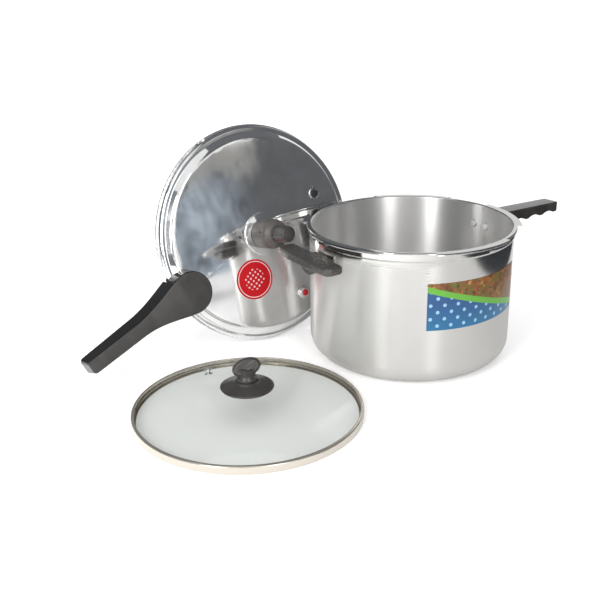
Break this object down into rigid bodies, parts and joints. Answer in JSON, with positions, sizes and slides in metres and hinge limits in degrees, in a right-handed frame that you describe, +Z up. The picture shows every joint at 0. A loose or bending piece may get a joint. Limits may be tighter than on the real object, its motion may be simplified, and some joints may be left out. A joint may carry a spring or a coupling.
{
  "type": "pressure canner",
  "caption": "Open stovetop pressure canner: deep aluminium pot with long and helper handles, locking pressure lid on its edge with regulator, and domed glass lid.",
  "frame": {"origin": "middle of the flat base of the pot", "axes": "+Z up along the pot's axis, +X along the pot's long handle"},
  "size_m": [0.6392, 0.342, 0.2655],
  "materials": {
    "pot_aluminium": "fine turned finish, satin",
    "rivet_aluminium": "satin",
    "rack_aluminium": "satin",
    "lid_aluminium": "polished",
    "steel": "plain",
    "bright_steel": "polished",
    "band_steel": "polished",
    "phenolic": "moulded, low gloss",
    "regulator_grey": "moulded, low gloss",
    "indicator_red": "moulded",
    "black_rubber": "moulded",
    "gasket_rubber": "moulded",
    "glass": "tempered, clear"
  },
  "bodies": {
    "pot": {"pot_shell": "pot_aluminium", "pot_handle_bracket": "steel", "pot_handle_rivets": "rivet_aluminium", "pot_handle_grip": "phenolic", "pot_handle_screw": "steel", "helper_handle_bracket": "steel", "helper_handle_rivets": "rivet_aluminium", "helper_handle_grip": "phenolic", "helper_handle_screw": "steel"},
    "rack": {"jar_rack": "rack_aluminium"},
    "gasket": {"sealing_gasket": "gasket_rubber"},
    "pressure_lid": {"lid_shell": "lid_aluminium", "vent_pipe": "steel", "vent_pipe_washer": "black_rubber", "vent_pipe_nut": "steel", "safety_plug_eyelet": "bright_steel", "safety_plug": "black_rubber", "indicator_bush": "bright_steel", "indicator_seal": "black_rubber", "indicator_nut": "steel", "lid_handle_grip": "phenolic", "lid_handle_screws": "steel", "lid_handle_washers": "black_rubber"},
    "regulator": {"regulator_bell": "regulator_grey", "regulator_grip": "phenolic", "regulator_weight": "steel"},
    "indicator": {"indicator_pin": "indicator_red"},
    "glass_lid": {"glass_pane": "glass", "glass_band": "band_steel", "steam_eyelet": "bright_steel", "knob_base": "phenolic", "knob_grip": "phenolic", "knob_screw": "steel", "knob_washer": "steel"}
  },
  "joints": [
    {"name": "lid_lift", "type": "slide", "parent": "pot", "child": "gasket", "axis": [0, 0.5, 0.866], "range_m": [0, 0.25]},
    {"name": "lid_turn", "type": "hinge", "parent": "gasket", "child": "pressure_lid", "pos_m": [-0.1195, 0.1576, 0.13239], "axis": [-0.0595, -0.9726, 0.225], "range_deg": [-36, 0]},
    {"name": "regulator_lift", "type": "slide", "parent": "pressure_lid", "child": "regulator", "axis": [-0.0595, -0.9726, 0.225], "range_m": [0, 0.014]},
    {"name": "indicator_rise", "type": "slide", "parent": "pressure_lid", "child": "indicator", "axis": [-0.0595, -0.9726, 0.225], "range_m": [0, 0.005]},
    {"name": "glass_lid_lift", "type": "slide", "parent": "pot", "child": "glass_lid", "axis": [-0.5998, -0.1999, 0.7748], "range_m": [0, 0.25]},
    {"name": "rack_lift", "type": "slide", "parent": "pot", "child": "rack", "axis": [0, 0, 1], "range_m": [0, 0.2]}
  ]
}
